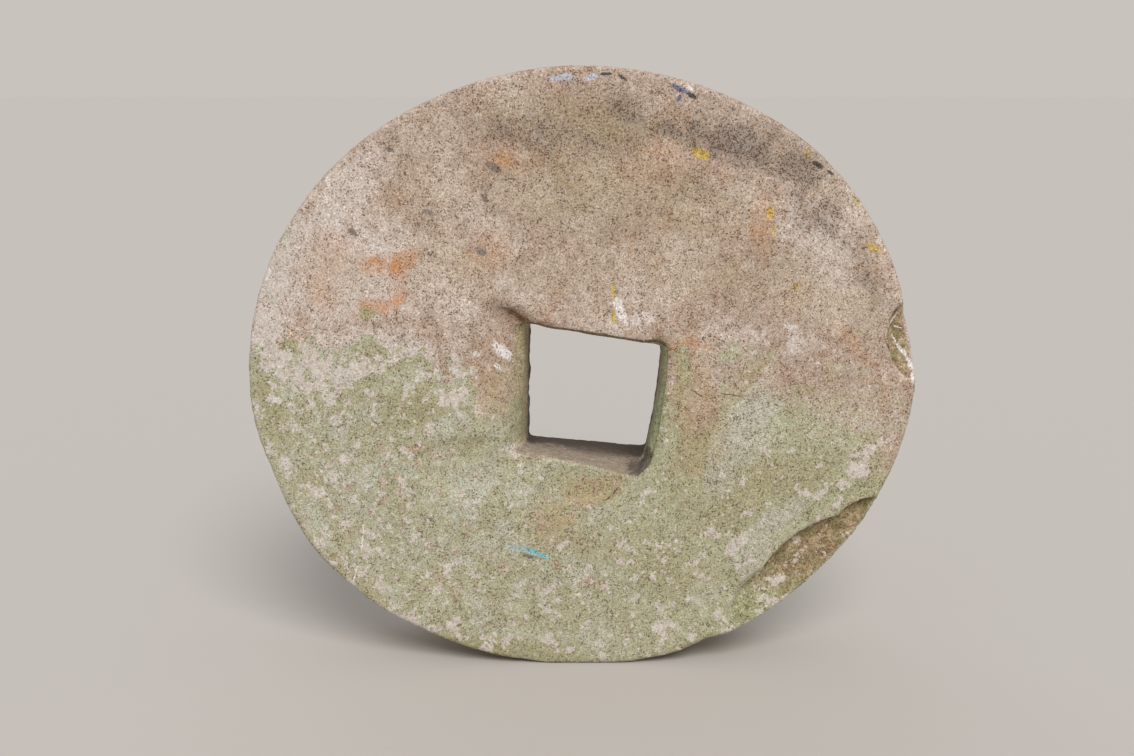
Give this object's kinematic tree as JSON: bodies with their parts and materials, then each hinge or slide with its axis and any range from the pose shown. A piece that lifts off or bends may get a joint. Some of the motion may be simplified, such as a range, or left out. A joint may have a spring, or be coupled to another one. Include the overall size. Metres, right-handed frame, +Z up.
{
  "type": "rotary quern stone",
  "caption": "Flat, slightly oval sandstone quern stone with a squarish eye cut through it, standing on the worn flat of its rim.",
  "frame": {"origin": "on the ground, under the middle of the stone's box, at the worn flat that it stands on", "axes": "+Z up, the front face looks along -Y, +X to the right of the front face"},
  "size_m": [0.3214, 0.057, 0.2929],
  "materials": {
    "sandstone": "matte"
  },
  "bodies": {
    "root": {"quern_stone": "sandstone"}
  },
  "joints": []
}
